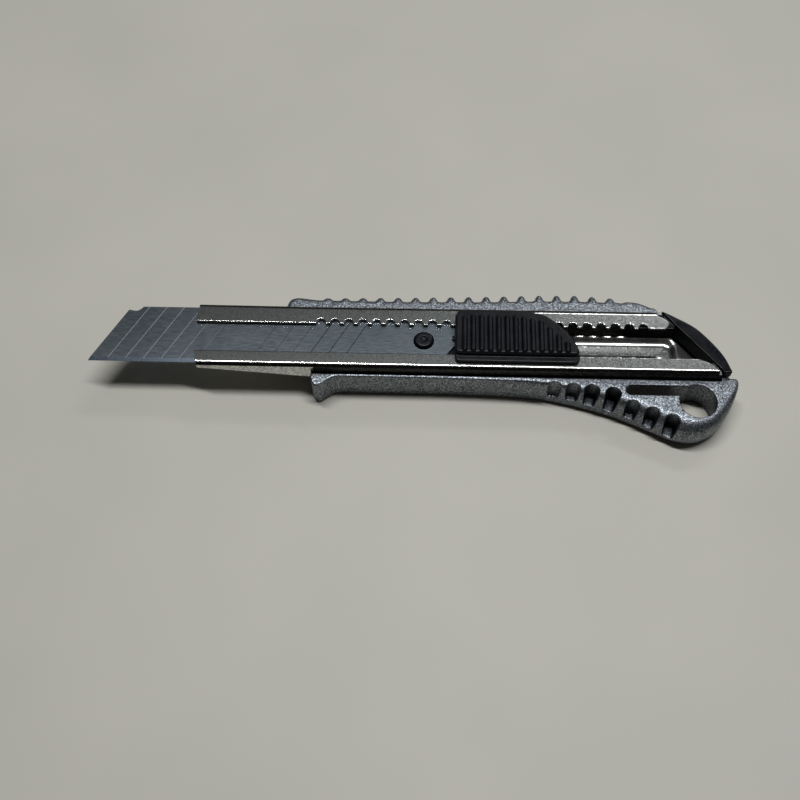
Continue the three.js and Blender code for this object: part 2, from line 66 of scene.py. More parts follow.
SHEET = 0.8
RAIL_LOW, RAIL_HIGH = -1.6, 18.6
RAIL_TOP = 13.2
RAIL_DEPTH = 7.0
TIP_DEPTH = 2.8
RAIL_FRONT, TAPER_TO, RAIL_REAR = 28.6, 63.0, 177.0
LIP_LOW, LIP_HIGH = 3.0, 12.4
BEND, WIDE_BEND = 1.35, 1.8
FLOOR_TOP = RAIL_TOP - RAIL_DEPTH + SHEET
PAN_Y, PAN_FROM, PAN_TO = 8.5, 70.0, 162.8
PAN_HALF, PAN_SLOPE, PAN_DEEP = 3.7, 1.6, 1.0
PAN_CORNER, PAN_SAG = 2.0, 0.2

RACK_FIRST, RACK_PITCH, RACK_COUNT = 64.3, 3.909, 24
RACK_RADIUS, RACK_MOUTH, RACK_ROOT = 1.2, 1.45, 13.9
LIP_ROUND = 0.28

# room between parts, and a height that every cutter may reach
GAP, CAP_ROOM = 0.3, 0.35
CLEAR = 20.0

RIM = 10.0
BED = RAIL_TOP - RAIL_DEPTH - GAP
RIDGE_FIRST, RIDGE_PITCH, RIDGE_COUNT = 65.3, 5.056, 17
POCKET_FLOOR, POCKET_RADIUS = 3.4, 2.1
POCKET_RAKE, POCKET_REACH = 0.8, 8.0
POCKETS = (
    (129.3, -5.3),
    (134.4, -5.6),
    (139.5, -5.9),
    (145.2, -6.6),
    (150.1, -10.5),
    (155.2, -12.5),
    (160.4, -14.6),
)
TAB_X, TAB_Y = 174.7, 1.9
HOLE_X, HOLE_Y, HOLE_RADIUS = 167.8, -8.3, 5.0
SLOT_FROM, SLOT_TO, SLOT_Y, SLOT_HALF = 148.6, 168.0, -5.3, 1.55
RIVET_X = (78.0, 121.0)
RIVET_SHANK, RIVET_HEAD, RIVET_SEAT = 1.6, 2.6, 1.7

KNOB_BASE = RAIL_TOP + GAP
KNOB_TOP, RIB_TOP = 16.0, 16.8
RIB_FIRST, RIB_PITCH, RIB_COUNT = 104.6, 2.33, 13
RIB_HALF = 0.62
SLIDER_TOP = 12.05
LEG_X, LEG_THICK, KNOB_PLAY = (105.0, 131.6), 1.6, 1.5

# outer curve shared by the end cap and the handle floor under it
CAP_CURVE = (
    (176.8, 0),
    (175.3, 4.1),
    (172.5, 8.5),
    (168.4, 13.2),
    (163.1, 16.7),
    (159.6, 18.6),
)

# the drawing frame's origin in the row frame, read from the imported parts
ORIGIN = Vector((
    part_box("blade")[0].x,
    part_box("blade_rail")[0].y - RAIL_LOW * MM,
    0.0,
))


# ---------------------------------------------------------------- outlines
def curve_through(points, steps):
    """Uniform Catmull-Rom curve through given points, with so many steps per span."""
    n = len(points)
    found = []
    for i in range(n - 1):
        p0 = points[i - 1] if i else points[i]
        p1, p2 = points[i], points[i + 1]
        p3 = points[i + 2] if i + 2 < n else points[i + 1]
        for k in range(steps):
            t = k / steps
            found.append(tuple(
                0.5 * (2 * b + (c - a) * t + (2 * a - 5 * b + 4 * c - d) * t * t
                       + (3 * b - a - 3 * c + d) * t ** 3)
                for a, b, c, d in zip(p0, p1, p2, p3)
            ))
    return found + [tuple(points[-1])]


def arc(x, y, r, start, end, steps):
    """Points on a circular arc, angles in degrees."""
    angles = [math.radians(start + (end - start) * i / steps) for i in range(steps + 1)]
    return [(x + r * math.cos(a), y + r * math.sin(a)) for a in angles]


def circle(x, y, r, steps=48):
    """Closed circle, without its first point a second time."""
    return arc(x, y, r, 0, 360, steps)[:-1]


def capsule(x0, x1, y, r):
    """Slot from x0 to x1 with half-round ends."""
    return arc(x1 - r, y, r, -90, 90, 16) + arc(x0 + r, y, r, 90, 270, 16)


def between(table, x):
    """Straight-line interpolation in a short list of (x, value) pairs."""
    if x <= table[0][0]:
        return table[0][1]
    for (x0, v0), (x1, v1) in zip(table, table[1:]):
        if x <= x1:
            return v0 + (v1 - v0) * (x - x0) / (x1 - x0)
    return table[-1][1]


def smoothstep(a, b, x):
    """Soft rise from 0 at a to 1 at b."""
    t = min(1.0, max(0.0, (x - a) / (b - a)))
    return t * t * (3 - 2 * t)


def inward(path):
    """Inward unit normals of a counter-clockwise outline."""
    found = []
    for i in range(len(path)):
        (ax, ay), (bx, by) = path[i - 1], path[(i + 1) % len(path)]
        length = math.hypot(bx - ax, by - ay)
        found.append((-(by - ay) / length, (bx - ax) / length))
    return found


# ---------------------------------------------------------------- meshes
def row(x, y, z):
    """From drawing millimetres to metres in the row frame."""
    return ORIGIN + Vector((x, y, z)) * MM


def piece(name, bm):
    """A new object in the scene that holds the finished mesh."""
    mesh = bpy.data.meshes.new(name)
    bm.normal_update()
    bm.to_mesh(mesh)
    bm.free()
    made = bpy.data.objects.new(name, mesh)
    bpy.context.scene.collection.objects.link(made)
    return made


def loft(name, rings):
    """Closed skin over rings of equal length, each a list of (x, y, z) in the drawing frame."""
    bm = bmesh.new()
    rows = [[bm.verts.new(row(*p)) for p in ring] for ring in rings]
    n = len(rings[0])
    for lower, upper in zip(rows, rows[1:]):
        for i in range(n):
            j = (i + 1) % n
            bm.faces.new((lower[i], lower[j], upper[j], upper[i]))
    bm.faces.new(list(reversed(rows[0])))
    bm.faces.new(rows[-1])
    bmesh.ops.recalc_face_normals(bm, faces=bm.faces)
    return piece(name, bm)


def prism(path, z0, z1, name="cutter"):
    """Straight-sided solid over an outline."""
    return loft(name, [[(x, y, z) for x, y in path] for z in (z0, z1)])


def block(x0, x1, y0, y1, z0, z1):
    return prism([(x0, y0), (x1, y0), (x1, y1), (x0, y1)], z0, z1)


def soft_slab(name, path, low, high, z0, z1, steps, inset=None):
    """Slab whose lower and upper edges are rounded by the radii low(i) and high(i)."""
    normals = inward(path)

    def plain(i, d):
        return path[i][0] + normals[i][0] * d, path[i][1] + normals[i][1] * d

    rings = []
    for radius, start, sign in ((low, z0, 1), (high, z1, -1)):
        for k in range(steps + 1):
            share = 1 - k / steps if sign > 0 else k / steps
            a = math.pi / 2 * share
            rings.append([
                (
                    *(inset or plain)(i, radius(i) * (1 - math.cos(a))),
                    start + sign * radius(i) * (1 - math.sin(a)),
                )
                for i in range(len(path))
            ])
    return loft(name, rings)


def bake(obj):
    """Applies all modifiers."""
    graph = bpy.context.evaluated_depsgraph_get()
    mesh = bpy.data.meshes.new_from_object(obj.evaluated_get(graph))
    obj.modifiers.clear()
    old, obj.data = obj.data, mesh
    bpy.data.meshes.remove(old)
    return obj


def combine(obj, tools, operation):
    """Exact booleans, one tool at a time. The tools are used up."""
    for tool in tools:
        boolean = obj.modifiers.new("boolean", "BOOLEAN")
        boolean.operation = operation
        boolean.solver = "EXACT"
        boolean.object = tool
        bake(obj)
        bpy.data.objects.remove(tool)
    return obj


def cut(obj, *tools):
    return combine(obj, tools, "DIFFERENCE")


def fuse(obj, *tools):
    return combine(obj, tools, "UNION")


def join(obj, *others):
    """Adds other closed shells to obj; the remesh that follows melts them into one body."""
    bm = bmesh.new()
    for source in (obj, *others):
        bm.from_mesh(source.data)
    bm.to_mesh(obj.data)
    bm.free()
    for other in others:
        bpy.data.objects.remove(other)
    return obj


def cast(obj, voxel, rounds):
    """Remeshes into one closed skin, and rounds of smoothing make a casting's small radii."""
    remesh = obj.modifiers.new("remesh", "REMESH")
    remesh.mode = "VOXEL"
    remesh.voxel_size = voxel * MM
    relax = obj.modifiers.new("relax", "SMOOTH")
    relax.factor = 0.5
    relax.iterations = rounds
    bake(obj)
    for face in obj.data.polygons:
        face.use_smooth = True


def soften(obj, angle):
    """Smooth shading with sharp edges above an angle in degrees."""
    mesh = obj.data
    mesh.polygons.foreach_set("use_smooth", [True] * len(mesh.polygons))
    mesh.set_sharp_from_angle(angle=math.radians(angle))
    weight = obj.modifiers.new("weight", "WEIGHTED_NORMAL")
    weight.keep_sharp = True


def hand_over(obj, body, node, material):
    """Gives a finished piece its material and body, and hides the CAD node it replaces."""
    obj.data.materials.clear()
    obj.data.materials.append(material)
    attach(obj, body)
    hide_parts(node)


# ---------------------------------------------------------------- materials
def fill_ramp(node, stops):
    """Sets a colour ramp's stops, each a place and a colour."""
    elements = node.color_ramp.elements
    while len(elements) < len(stops):
        elements.new(0.5)
    for element, (at, colour) in zip(elements, stops):
        element.position = at
        element.color = (*colour, 1)


class Nodes:
    """Short calls for building a node material."""

    def __init__(self, name):
        self.material = bpy.data.materials.new(name)
        self.material.use_nodes = True
        self.tree = self.material.node_tree
        self.shader = self.tree.nodes["Principled BSDF"]
        self.place = self.add("ShaderNodeTexCoord").outputs["Object"]

    def add(self, kind):
        return self.tree.nodes.new(kind)

    def link(self, source, target):
        self.tree.links.new(source, target)

    def scaled(self, scale):
        """Object coordinates stretched by scale, a vector."""
        mapping = self.add("ShaderNodeMapping")
        mapping.inputs["Scale"].default_value = scale
        self.link(self.place, mapping.inputs["Vector"])
        return mapping.outputs["Vector"]

    def noise(self, size_mm, detail, vector=None):
        node = self.add("ShaderNodeTexNoise")
        node.inputs["Scale"].default_value = 1 / (size_mm * MM)
        node.inputs["Detail"].default_value = detail
        node.inputs["Roughness"].default_value = 0.55
        self.link(vector or self.place, node.inputs["Vector"])
        return node.outputs["Fac"]

    def cells(self, size_mm):
        """Distance from the middle of the nearest grain."""
        node = self.add("ShaderNodeTexVoronoi")
        node.inputs["Scale"].default_value = 1 / (size_mm * MM)
        self.link(self.place, node.inputs["Vector"])
        return node.outputs["Distance"]

    def spread(self, value, low, high, to_low, to_high):
        """Maps the range low to high on to the range to_low to to_high."""
        node = self.add("ShaderNodeMapRange")
        for key, number in zip(
            ("From Min", "From Max", "To Min", "To Max"), (low, high, to_low, to_high)
        ):
            node.inputs[key].default_value = number
        self.link(value, node.inputs["Value"])
        return node.outputs["Result"]

    def ramp(self, value, stops):
        node = self.add("ShaderNodeValToRGB")
        fill_ramp(node, stops)
        self.link(value, node.inputs["Fac"])
        return node.outputs["Color"]

    def bump(self, height, depth_mm, normal=None):
        node = self.add("ShaderNodeBump")
        node.inputs["Distance"].default_value = depth_mm * MM
        self.link(height, node.inputs["Height"])
        if normal:
            self.link(normal, node.inputs["Normal"])
        return node.outputs["Normal"]

    def plug(self, **sources):
        """Links node outputs to the shader's sockets."""
        for key, source in sources.items():
            self.link(source, self.shader.inputs[key.replace("_", " ")])

    def fix(self, **values):
        """Sets constants on the shader's sockets."""
        for key, value in values.items():
            self.shader.inputs[key.replace("_", " ")].default_value = value


# the sockets that a Mix node uses for colours
MIX_FACTOR, MIX_A, MIX_B, MIX_RESULT = 0, 6, 7, 2


def cast_alloy():
    """Bead-blasted aluminium casting: blue-grey, with a sparkling grain and painted shade in its
    recesses.
    """
    n = Nodes("cast_alloy")
    n.fix(Metallic=0.95)
    speck = n.noise(0.38, 2)
    colour = n.ramp(speck, [
        (0.36, (0.06, 0.065, 0.075)),
        (0.50, (0.14, 0.155, 0.175)),
        (0.66, (0.44, 0.48, 0.52)),
    ])
    # painted shade: ambient occlusion darkens the base colour in recesses, slots and pockets
    recess = n.add("ShaderNodeAmbientOcclusion")
    recess.inputs["Distance"].default_value = 9 * MM
    recess.samples = 8
    recess_shade = n.add("ShaderNodeMix")
    recess_shade.data_type = "RGBA"
    recess_shade.blend_type = "MULTIPLY"
    recess_shade.inputs[MIX_FACTOR].default_value = 1
    n.link(colour, recess_shade.inputs[MIX_A])
    n.link(n.ramp(recess.outputs["AO"], [
        (0.25, (0.05, 0.05, 0.06)),
        (0.78, (1.0, 1.0, 1.0)),
    ]), recess_shade.inputs[MIX_B])
    n.plug(Base_Color=recess_shade.outputs[MIX_RESULT])
    grain = n.cells(0.34)
    n.plug(Roughness=n.spread(speck, 0.3, 0.7, 0.52, 0.34))
    lumps = n.bump(n.noise(1.4, 2), 0.05)
    n.plug(Normal=n.bump(grain, 0.03, n.bump(speck, 0.04, lumps)))
    return n.material


def plated_steel():
    """Nickel-plated strip: satin, with a fine sparkling grain."""
    n = Nodes("plated_steel")
    n.fix(Metallic=1.0)
    speck = n.noise(0.42, 2)
    n.plug(Base_Color=n.ramp(speck, [
        (0.38, (0.34, 0.345, 0.335)),
        (0.50, (0.54, 0.55, 0.53)),
        (0.64, (0.86, 0.87, 0.85)),
    ]))
    n.plug(Roughness=n.spread(speck, 0.3, 0.7, 0.21, 0.14))
    n.plug(Normal=n.bump(n.noise(0.3, 2), 0.008))
    return n.material


def shaded_steel():
    """Painted shade and dark reflection on the plated strip, along the bends and in the shelter of
    the handle.
    """
    n = Nodes("shaded_steel")
    n.fix(Metallic=1.0)
    # painted shade: a near-black base colour stands in for shade and dark reflections
    n.plug(Base_Color=n.ramp(n.noise(0.8, 3), [
        (0.35, (0.020, 0.020, 0.021)),
        (0.65, (0.055, 0.054, 0.050)),
    ]))
    n.plug(Roughness=n.spread(n.noise(0.4, 2), 0.3, 0.7, 0.25, 0.4))
    return n.material


def blade_steel():
    """Ground carbon steel: blue-grey, with fine grinding lines along the blade."""
    n = Nodes("blade_steel")
    n.fix(Metallic=1.0)
    lines = n.noise(0.25, 3, n.scaled((0.1, 1, 1)))
    n.plug(Base_Color=n.ramp(n.noise(12, 4), [
        (0.3, (0.27, 0.32, 0.365)),
        (0.7, (0.33, 0.375, 0.42)),
    ]))
    n.plug(Roughness=n.spread(lines, 0.3, 0.7, 0.20, 0.26))
    n.plug(Normal=n.bump(lines, 0.003))
    return n.material


def shaded_ground_edge():
    """The ground bevel, painted darker and bluer than the flats as a painted dark reflection."""
    n = Nodes("shaded_ground_edge")
    n.fix(Metallic=1.0)
    lines = n.noise(0.2, 2, n.scaled((1, 0.08, 1)))
    n.plug(Base_Color=n.ramp(lines, [
        (0.3, (0.030, 0.038, 0.048)),
        (0.7, (0.050, 0.060, 0.074)),
    ]))
    n.plug(Roughness=n.spread(lines, 0.3, 0.7, 0.26, 0.34))
    n.plug(Normal=n.bump(lines, 0.004))
    return n.material


def scored_steel():
    """Bright broken grain in the walls of the score grooves, painted duller away from the tip as
    painted shade inside the channel.
    """
    n = Nodes("scored_steel")
    n.fix(Metallic=0.5)
    along = n.add("ShaderNodeSeparateXYZ")
    n.link(n.place, along.inputs[0])
    # painted shade: the colour dims from X 25 to X 50, where the blade runs into the channel
    bright_to, dull_from = row(25, 0, 0).x, row(50, 0, 0).x
    n.plug(Base_Color=n.ramp(n.spread(along.outputs["X"], bright_to, dull_from, 0, 1), [
        (0.0, (0.40, 0.43, 0.46)),
        (0.4, (0.24, 0.27, 0.30)),
        (1.0, (0.10, 0.12, 0.14)),
    ]))
    n.plug(Roughness=n.spread(n.noise(0.3, 2), 0.3, 0.7, 0.45, 0.6))
    return n.material


def black_plastic(name, roughness):
    """Moulded black plastic with a faint grain and patches of a little more shine."""
    n = Nodes(name)
    n.fix(IOR=1.5, Specular_IOR_Level=0.18)
    wear = n.noise(4, 3)
    n.plug(Base_Color=n.ramp(wear, [
        (0.3, (0.0035, 0.004, 0.006)),
        (0.7, (0.007, 0.008, 0.011)),
    ]))
    n.plug(Roughness=n.spread(wear, 0.3, 0.7, roughness - 0.06, roughness + 0.06))
    n.plug(Normal=n.bump(n.noise(0.25, 2), 0.02))
    return n.material


ALLOY = cast_alloy()
PLATED = plated_steel()
BEND_SHADE = shaded_steel()
BLADE_STEEL = blade_steel()
GROUND = shaded_ground_edge()
SCORED = scored_steel()
CAP_PLASTIC = black_plastic("cap_plastic", 0.17)
KNOB_PLASTIC = black_plastic("knob_plastic", 0.32)


# ---------------------------------------------------------------- handle
RIDGE_TOPS = ((66, 23.6), (91, 24.3), (111, 25), (126, 25.7), (137, 25.85), (148, 25))
RIDGE_DEPTHS = ((66, 0.8), (88, 1.5), (111, 1.9), (137, 2.1), (148, 1.4))
# a rib's half width and where its foot fades out, as shares of the pitch
RIDGE_HALF, FOOT_FROM, FOOT_TO = 0.25, 0.12, 0.33
FOOT_HEIGHT = 0.7
RIDGE_STEPS, BALL_STEPS = 20, 8
SPINE_Y, SPINE_TO = 18.0, 158.0
RIDGES_Y, RIDGES_FROM, RIDGES_TO = 21.0, 63.0, 148.5
SPINE_RADIUS, EDGE_RADIUS = 1.3, 0.4


def spine_y(x):
    """Height of the ribbed spine: narrow round ribs with wide valleys, taller to the rear."""
    along = (x - RIDGE_FIRST) / RIDGE_PITCH
    off = abs(along - round(along)) if -0.5 < along < RIDGE_COUNT - 0.5 else 0.5
    arch = math.sqrt(max(0.0, 1 - (off / RIDGE_HALF) ** 2))
    foot = FOOT_HEIGHT * (1 - smoothstep(FOOT_FROM, FOOT_TO, off))
    return between(RIDGE_TOPS, x) - (1 - max(arch, foot)) * between(RIDGE_DEPTHS, x)


def spine_inset(x, d):
    """The spine's height after rolling a ball of radius d under it."""
    if d < 1e-6:
        return spine_y(x)
    shares = [i / BALL_STEPS for i in range(-BALL_STEPS, BALL_STEPS + 1)]
    return min(spine_y(x + d * t) - d * math.sqrt(1 - t * t) for t in shares)


def spine_ridges():
    """The ridges' outline from the front to the rear."""
    first = RIDGE_FIRST - RIDGE_PITCH / 2
    places = [
        first + (k + 0.5) / RIDGE_STEPS * RIDGE_PITCH for k in range(RIDGE_COUNT * RIDGE_STEPS)
    ]
    return [(x, spine_y(x)) for x in places]


def handle_outline():
    """Counter-clockwise from the finger guard, along the grip, the bulb and the spine."""
    guard = curve_through((
        (62.1, -1.2), (62.1, -3.4), (62.9, -5.2), (64.3, -5.75),
        (66.2, -4.5), (68.2, -3.2), (70.5, -2.8),
    ), 6)
    grip = curve_through((
        (98, -2.8), (112.5, -3.1), (125.4, -3.9), (136.8, -6.3), (148, -10),
        (157.5, -14.9), (161.5, -16.9), (165, -17.6), (168.7, -17), (172.6, -14.8),
        (175.8, -11), (177.9, -7), (179.05, -4), (179.4, -2.2),
    ), 10)
    tab = [(179.2, -1.2), (178.6, -0.7), (177.4, -0.6)]
    rear = curve_through(((176.6, 2.1), *CAP_CURVE[1:5], (160.4, 19.1), (158.6, 21.4)), 8)
    bump = curve_through(((158.6, 21.4), (154.8, 23.3), (151.4, 23.9), (149.2, 23.4)), 6)[1:]
    nose = curve_through(((61, 23), (58, 23.4), (56, 23.4), (54.3, 22.5), (53.5, 20.5)), 6)
    front = curve_through(((53.5, 17), (55, 10), (60, 3.5)), 8)
    return guard + grip + tab + rear + bump + spine_ridges()[::-1] + nose + front


def top_radius(x, y):
    """Crisp along the channel, round at the bulb."""
    if y > 0:
        return SPINE_RADIUS if y > SPINE_Y and x < SPINE_TO else EDGE_RADIUS
    table = ((112, 0.4), (137, 2), (148, 3), (163, 4.8), (169, 3.8), (177, 2.4), (179.4, 0.8))
    return between(table, x)


def bottom_radius(x, y):
    """Small all round, and wide under the bulb."""
    if y > 0:
        return 0.9 if y > SPINE_Y else 0.5
    return between(((112, 0.5), (150, 1.4), (163, 3.6), (172, 3.2), (179.4, 0.8)), x)


# how much narrower a finger pocket is at each height, towards its rounded floor
POCKET_DRAFT = (
    (POCKET_FLOOR, 1.05), (POCKET_FLOOR + 0.12, 0.8), (POCKET_FLOOR + 0.4, 0.6),
    (POCKET_FLOOR + 1.0, 0.45), (RIM - 0.4, 0), (RIM + 1, -0.15),
)


def pocket_ring(x, y, r):
    """Round at the inner side, and open towards the outside of the grip."""
    lean = POCKET_REACH * between(((125, 0.1), (137, 0.25), (150, 0.42), (163, 0.3)), x)
    mouth = y - POCKET_REACH
    return [*arc(x, y, r, 0, 180, 20), (x - r - lean, mouth), (x + r - lean, mouth)]


def channel_bed():
    """Cutters for the bed of the channel, the cap and the pressed pan."""
    cap_side = [(x + CAP_ROOM, y + CAP_ROOM) for x, y in CAP_CURVE[1:]]
    ahead, pan_room = 50, 1.5
    return [
        block(ahead, TAB_X, RAIL_LOW - GAP, 16, BED, CLEAR),
        block(ahead, 158.2, 15, RAIL_HIGH + GAP, BED, CLEAR),
        prism([(150, TAB_Y), (176.8, TAB_Y), *cap_side, (158, 19.2), (150, 18.9)], BED, CLEAR),
        prism([(174.5, TAB_Y), (190, TAB_Y), (190, 14), (165, 18)], BED, CLEAR),
        prism(
            capsule(PAN_FROM - pan_room, PAN_TO + pan_room, PAN_Y, PAN_HALF + pan_room),
            BED - PAN_DEEP, BED + 1.1,
        ),
    ]


def lanyard_slot():
    """Cutters for the slot, the round hole at its end and the curved step between them."""
    step = curve_through(((166.5, -3.75), (169.4, -4), (171.6, -5.6), (167.8, -6)), 6)
    outlines = (
        capsule(SLOT_FROM, SLOT_TO, SLOT_Y, SLOT_HALF),
        circle(HOLE_X, HOLE_Y, HOLE_RADIUS),
        step,
    )
    return [prism(outline, -1, RIM + 1) for outline in outlines]


def make_handle():
    """Casting with a ribbed spine, finger pockets, a lanyard slot and the channel's bed."""
    path = handle_outline()
    normals = inward(path)

    def inset(i, d):
        x, y = path[i]
        on_ridges = y > RIDGES_Y and RIDGES_FROM < x < RIDGES_TO
        if on_ridges:
            return x, spine_inset(x, d)
        return x + normals[i][0] * d, y + normals[i][1] * d

    handle = soft_slab(
        "cast_handle", path,
        lambda i: bottom_radius(*path[i]), lambda i: top_radius(*path[i]), 0, RIM, 8, inset,
    )
    cast(handle, voxel=0.22, rounds=0)
    cut(handle, *channel_bed(), *lanyard_slot())
    for x, y in POCKETS:
        cut(handle, loft("cutter", [
            [
                (a, b, z)
                for a, b in pocket_ring(x, y + POCKET_RAKE * narrower, POCKET_RADIUS - narrower)
            ]
            for z, narrower in POCKET_DRAFT
        ]))
    for x in RIVET_X:
        cut(
            handle,
            prism(circle(x, PAN_Y, RIVET_SHANK + GAP, 24), -1, RIM),
            prism(circle(x, PAN_Y, RIVET_HEAD + GAP, 32), -1, RIVET_SEAT),
        )
    cast(handle, voxel=0.2, rounds=5)
    hand_over(handle, "body", "handle", ALLOY)


# ---------------------------------------------------------------- steel channel
BEND_STEPS, LIP_STEPS, PAN_STEPS = 8, 5, 14


def channel_section(x, depth):
    """One cross-section of the folded sheet as points (x, y, z)."""
    outer, inner = BEND, BEND - SHEET
    # the shallow front has no room for the full far bend
    wide = min(WIDE_BEND, depth - BEND - 0.05)
    low = RAIL_TOP - depth
    left, right, bottom = RAIL_LOW + outer, RAIL_HIGH - outer, low + outer
    near_top, right_up, far_top = RAIL_TOP - outer, RAIL_HIGH - wide, RAIL_TOP - wide
    high, under = RAIL_TOP - LIP_ROUND, RAIL_TOP - SHEET + LIP_ROUND
    profile = [
        *arc(LIP_HIGH + LIP_ROUND, high, LIP_ROUND, 90, 180, LIP_STEPS),
        *arc(LIP_HIGH + LIP_ROUND, under, LIP_ROUND, 180, 270, LIP_STEPS),
        *arc(right, near_top, inner, 90, 0, BEND_STEPS // 2),
        *arc(right, bottom, inner, 0, -90, BEND_STEPS // 2),
        *arc(left, bottom, inner, 270, 180, BEND_STEPS // 2),
        *arc(left, near_top, inner, 180, 90, BEND_STEPS // 2),
        *arc(LIP_LOW - LIP_ROUND, under, LIP_ROUND, 270, 360, LIP_STEPS),
        *arc(LIP_LOW - LIP_ROUND, high, LIP_ROUND, 0, 90, LIP_STEPS),
        *arc(left, near_top, outer, 90, 180, BEND_STEPS),
        *arc(left, bottom, outer, 180, 270, BEND_STEPS),
        *arc(right, bottom, outer, -90, 0, BEND_STEPS),
        *arc(right_up, far_top, wide, 0, 90, BEND_STEPS + 4),
    ]
    return [(x, y, z) for y, z in profile]


def pan_ring(reach, z):
    """Rounded rectangle of the pressed dish, grown by reach."""
    r = max(PAN_CORNER + reach, 0.3)
    left, right = PAN_FROM - reach + r, PAN_TO + reach - r
    side = PAN_HALF + reach - r
    ring = [
        *arc(right, PAN_Y - side, r, -90, 0, 12),
        *arc(right, PAN_Y + side, r, 0, 90, 12),
        *arc(left, PAN_Y + side, r, 90, 180, 12),
        *arc(left, PAN_Y - side, r, 180, 270, 12),
    ]
    return [(x, y, z) for x, y in ring]


def pressed_pan(top, grow=0):
    """The pressed floor's long dish: a slight sag, and walls that run out softly."""
    rings = [pan_ring(grow + 0.6 - PAN_HALF, top - PAN_DEEP - PAN_SAG)]
    for k in range(PAN_STEPS + 1):
        t = k / PAN_STEPS
        # the last ring ends just above the sheet, so that the cut goes through it
        rise = 0.01 if k == PAN_STEPS else 0
        z = top - PAN_DEEP * (1 - smoothstep(0, 1, t) ** 1.5) + rise
        rings.append(pan_ring(grow + PAN_SLOPE * (2 * t - 1), z))
    return loft("pan", rings)


def flared(path):
    """Punch through a lip that rounds the lip's upper edge over."""
    normals = inward(path)
    levels = [(RAIL_TOP - SHEET - 0.1, 0), (RAIL_TOP - LIP_ROUND, 0)]
    for k in range(1, LIP_STEPS + 1):
        a = math.radians(90 * k / LIP_STEPS)
        levels.append((RAIL_TOP - LIP_ROUND + LIP_ROUND * math.sin(a), LIP_ROUND * (1 - math.cos(a))))
    levels.append((RAIL_TOP + 1, LIP_ROUND))
    return loft("cutter", [
        [(x - a * grow, y - b * grow, z) for (x, y), (a, b) in zip(path, normals)]
        for z, grow in levels
    ])


def rack_notch(x):
    """Half-round notch in the far lip, with rounded corners at its mouth."""
    root = arc(x, RACK_ROOT - RACK_RADIUS, RACK_RADIUS, 0, 180, 14)
    right = curve_through(((x + 2.2, LIP_HIGH - 0.35), (x + RACK_MOUTH, LIP_HIGH - 0.1),
                           (x + RACK_RADIUS + 0.02, LIP_HIGH + 0.28)), 3)
    left = [(2 * x - a, b) for a, b in reversed(right)]
    return [(x - 2.2, LIP_HIGH - 1.5), (x + 2.2, LIP_HIGH - 1.5), *right, *root, *left]


# how far a face has turned towards the near or the far side where the painted shade starts and ends
SHADE_NEAR, SHADE_WALL, SHADE_FAR = -0.36, -0.93, 0.27


def paint_bend_shade(rail):
    """Painted shade and dark reflection on the near bend, the near wall along the handle, and all
    that faces far.
    """
    rail.data.materials.append(BEND_SHADE)
    bend_y = row(0, RAIL_LOW + BEND, 0).y
    handle_x = row(TAPER_TO, 0, 0).x
    for face in rail.data.polygons:
        near_side = face.center.y < bend_y and face.normal.y < SHADE_NEAR
        on_bend = face.normal.y > SHADE_WALL and face.normal.z > 0
        by_handle = face.center.x > handle_x
        if face.normal.y > SHADE_FAR or near_side and (on_bend or by_handle):
            face.material_index = 1


def channel_ends():
    """Cutters for the slanted front edge, the rear edge and the rounded ends of the lips."""
    front = [
        (20, 25), (20, -5), (30.7, -5), (30.7, -1.4), (29.5, 3.2),
        (29.3, 8), (28.9, 12.4), (29.4, 17.4), (29.4, 25),
    ]
    rear = [
        (159.1, 30), (159.1, 18.7), (160.4, 17), (174.2, -0.6),
        (174.2, -8), (190, -8), (190, 30),
    ]
    high_end = curve_through(
        ((157.2, 12.1), (160.4, 12.55), (161.3, 14.6), (159.4, 16.4), (158.3, 16.8)), 5)
    low_end = curve_through(
        ((166, 3.3), (169.4, 2.6), (171.9, 1.3), (173.3, -0.3), (173.6, -1.3)), 5)
    return [
        prism(front, 5, CLEAR),
        prism(rear, 4, CLEAR),
        flared([(157.2, 11), (180, 11), (180, 20), (158.3, 20), *reversed(high_end)]),
        flared([(166, 4), *low_end, (173.6, -2.5), (180, -2.5), (180, 4)]),
    ]


def make_rail():
    """Folded channel with a tapered front, cut-away ends, a lock rack and a pressed pan."""
    stations = (
        (RAIL_FRONT, TIP_DEPTH),
        (TAPER_TO - 3, RAIL_DEPTH - 0.3),
        (TAPER_TO, RAIL_DEPTH),
        (RAIL_REAR, RAIL_DEPTH),
    )
    rail = loft("channel", [channel_section(x, depth) for x, depth in stations])
    fuse(rail, pressed_pan(FLOOR_TOP - SHEET + 0.05, 0.25))
    cut(rail, pressed_pan(FLOOR_TOP), *channel_ends())
    for k in range(RACK_COUNT):
        cut(rail, flared(rack_notch(RACK_FIRST + k * RACK_PITCH)))
    for x in RIVET_X:
        cut(rail, prism(circle(x, PAN_Y, RIVET_SHANK + GAP, 24), 3, 8))
    soften(rail, 40)
    hand_over(rail, "body", "blade_rail", PLATED)
    paint_bend_shade(rail)


# ---------------------------------------------------------------- blade
def blade_slope(y):
    """How far the slanted score lines have run along X at height y."""
    return (y - BLADE_LOW) * BLADE_SLANT / BLADE_WIDTH


